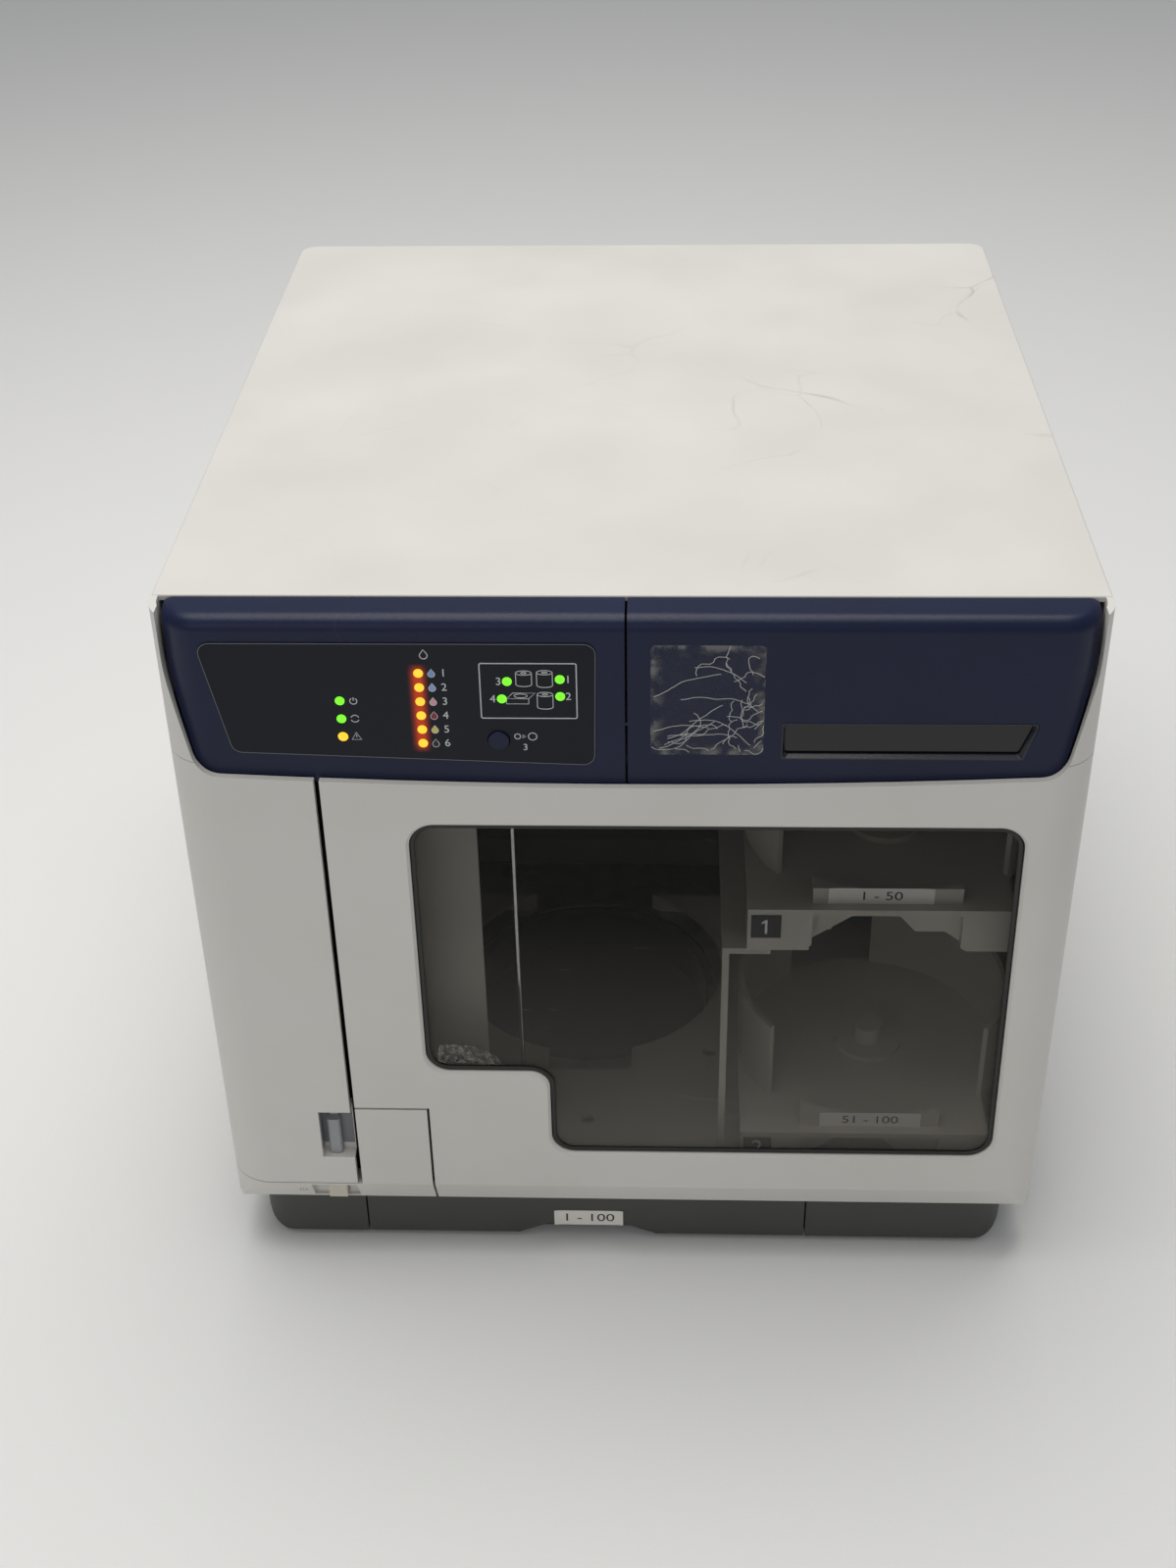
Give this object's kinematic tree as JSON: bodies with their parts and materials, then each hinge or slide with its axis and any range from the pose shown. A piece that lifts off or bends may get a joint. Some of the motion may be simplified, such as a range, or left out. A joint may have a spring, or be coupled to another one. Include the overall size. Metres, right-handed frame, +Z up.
{
  "type": "disc label printer",
  "caption": "Desktop disc label printer with a smoked-window door, ink door, output drawer, stackers, tray drives and a lifting, swinging disc arm.",
  "frame": {"origin": "on the surface it stands on, under the middle of the machine's overall box", "axes": "+X to the right seen from the front, +Y to the back, +Z up; the doors face -Y"},
  "size_m": [0.377, 0.465, 0.348],
  "materials": {
    "base_plastic": "fine texture, dark grey",
    "rubber": "matt",
    "sheet_steel": "zinc plated",
    "dark_plastic": "fine texture, near black",
    "grey_plastic": "fine texture, mid grey",
    "white_plastic": "fine spark texture, warm white",
    "smoked_pane": "smoked, clear gloss",
    "cream_plastic": "satin cream",
    "blue_plastic": "navy, fine texture",
    "black_gloss": "black film",
    "green_lens": "lit lens",
    "amber_lens": "lit lens",
    "circuit_board": "green solder mask",
    "steel_shaft": "ground and plated",
    "belt_rubber": "toothed belt",
    "motor_case": "cast",
    "drive_case": "dark painted steel",
    "cartridge_plastic": "moulded",
    "socket_plastic": "black"
  },
  "bodies": {
    "housing": {"base_tray": "base_plastic", "rubber_feet": "rubber", "chassis_pan": "sheet_steel", "floor_plate": "dark_plastic", "divider_wall": "grey_plastic", "front_frame": "dark_plastic", "side_cover_left": "white_plastic", "side_cover_right": "white_plastic", "top_cover": "white_plastic", "rear_cover": "white_plastic", "exhaust_hood": "white_plastic", "hinge_brackets": "sheet_steel", "lower_front_panel": "white_plastic", "control_panel": "blue_plastic", "right_blue_cover": "blue_plastic", "slot_window": "black_gloss", "panel_overlay": "black_gloss", "status_lamps": "green_lens", "ink_lamps": "amber_lens", "stacker_lamps": "green_lens", "panel_board": "circuit_board", "stacker_1": "grey_plastic", "stacker_2": "grey_plastic", "stacker_labels": "black_gloss", "stacker_shelf": "dark_plastic", "arm_post": "sheet_steel", "guide_shafts": "steel_shaft", "drive_belts": "belt_rubber", "belt_pulleys": "dark_plastic", "belt_motors": "motor_case", "disc_drive_1": "drive_case", "disc_drive_2": "drive_case", "drive_cage": "sheet_steel", "printer_frame": "sheet_steel", "carriage_rails": "steel_shaft", "ink_holder": "dark_plastic", "ink_cartridges": "cartridge_plastic", "power_supply": "sheet_steel", "main_board": "circuit_board", "fan_frame": "dark_plastic", "ac_inlet": "socket_plastic", "usb_port": "steel_shaft", "cover_screws": "steel_shaft"},
    "disc_door": {"disc_door": "white_plastic", "door_window": "smoked_pane"},
    "ink_door": {"ink_door": "white_plastic"},
    "ink_latch": {"ink_door_latch": "grey_plastic"},
    "output_drawer": {"output_drawer": "dark_plastic", "drawer_fascia": "base_plastic"},
    "power_button": {"power_button": "cream_plastic"},
    "ink_key": {"ink_key": "blue_plastic"},
    "drive_tray_1": {"drive_tray_1": "dark_plastic"},
    "drive_tray_2": {"drive_tray_2": "dark_plastic"},
    "print_tray": {"print_tray": "dark_plastic"},
    "print_carriage": {"print_carriage": "dark_plastic"},
    "lift_carriage": {"lift_carriage": "dark_plastic"},
    "swing_arm": {"swing_arm": "dark_plastic"},
    "gripper_left": {"gripper_jaw_left": "cream_plastic"},
    "gripper_right": {"gripper_jaw_right": "cream_plastic"},
    "fan_rotor": {"fan_rotor": "dark_plastic"}
  },
  "joints": [
    {"name": "disc_door_hinge", "type": "hinge", "parent": "housing", "child": "disc_door", "pos_m": [0.1813, -0.2176, 0.15], "axis": [0, 0, 1], "range_deg": [0, 100]},
    {"name": "ink_door_hinge", "type": "hinge", "parent": "housing", "child": "ink_door", "pos_m": [-0.1813, -0.2176, 0.15], "axis": [0, 0, -1], "range_deg": [0, 100]},
    {"name": "ink_latch_slide", "type": "slide", "parent": "ink_door", "child": "ink_latch", "axis": [0, 0, 1], "range_m": [0, 0.004], "stiffness_N_per_m": 200, "springref_m": -0.002},
    {"name": "output_drawer_slide", "type": "slide", "parent": "housing", "child": "output_drawer", "axis": [0, -1, 0], "range_m": [0, 0.15]},
    {"name": "power_button_press", "type": "slide", "parent": "housing", "child": "power_button", "axis": [0, 1, 0], "range_m": [0, 0.0015], "stiffness_N_per_m": 600},
    {"name": "ink_key_press", "type": "slide", "parent": "housing", "child": "ink_key", "axis": [0, 1, 0], "range_m": [0, 0.0006], "stiffness_N_per_m": 600},
    {"name": "drive_tray_1_slide", "type": "slide", "parent": "housing", "child": "drive_tray_1", "axis": [0, -1, 0], "range_m": [0, 0.135]},
    {"name": "drive_tray_2_slide", "type": "slide", "parent": "housing", "child": "drive_tray_2", "axis": [0, -1, 0], "range_m": [0, 0.135]},
    {"name": "print_tray_slide", "type": "slide", "parent": "housing", "child": "print_tray", "axis": [0, -1, 0], "range_m": [0, 0.164]},
    {"name": "print_carriage_slide", "type": "slide", "parent": "housing", "child": "print_carriage", "axis": [1, 0, 0], "range_m": [0, 0.136]},
    {"name": "arm_lift", "type": "slide", "parent": "housing", "child": "lift_carriage", "axis": [0, 0, 1], "range_m": [-0.198, 0]},
    {"name": "arm_swing", "type": "hinge", "parent": "lift_carriage", "child": "swing_arm", "pos_m": [0.08656, -0.04064, 0.277], "axis": [0, 0, 1], "range_deg": [0, 92.65]},
    {"name": "gripper_left_slide", "type": "slide", "parent": "swing_arm", "child": "gripper_left", "axis": [-1, 0, 0], "range_m": [0, 0.0008]},
    {"name": "gripper_right_slide", "type": "slide", "parent": "swing_arm", "child": "gripper_right", "axis": [1, 0, 0], "range_m": [0, 0.0008]},
    {"name": "fan_spin", "type": "hinge", "parent": "housing", "child": "fan_rotor", "pos_m": [0.122, 0.177, 0.251], "axis": [0, 1, 0], "continuous": true}
  ],
  "couplings": [
    {"joint": "gripper_right_slide", "follows": "gripper_left_slide", "ratio": 1}
  ]
}
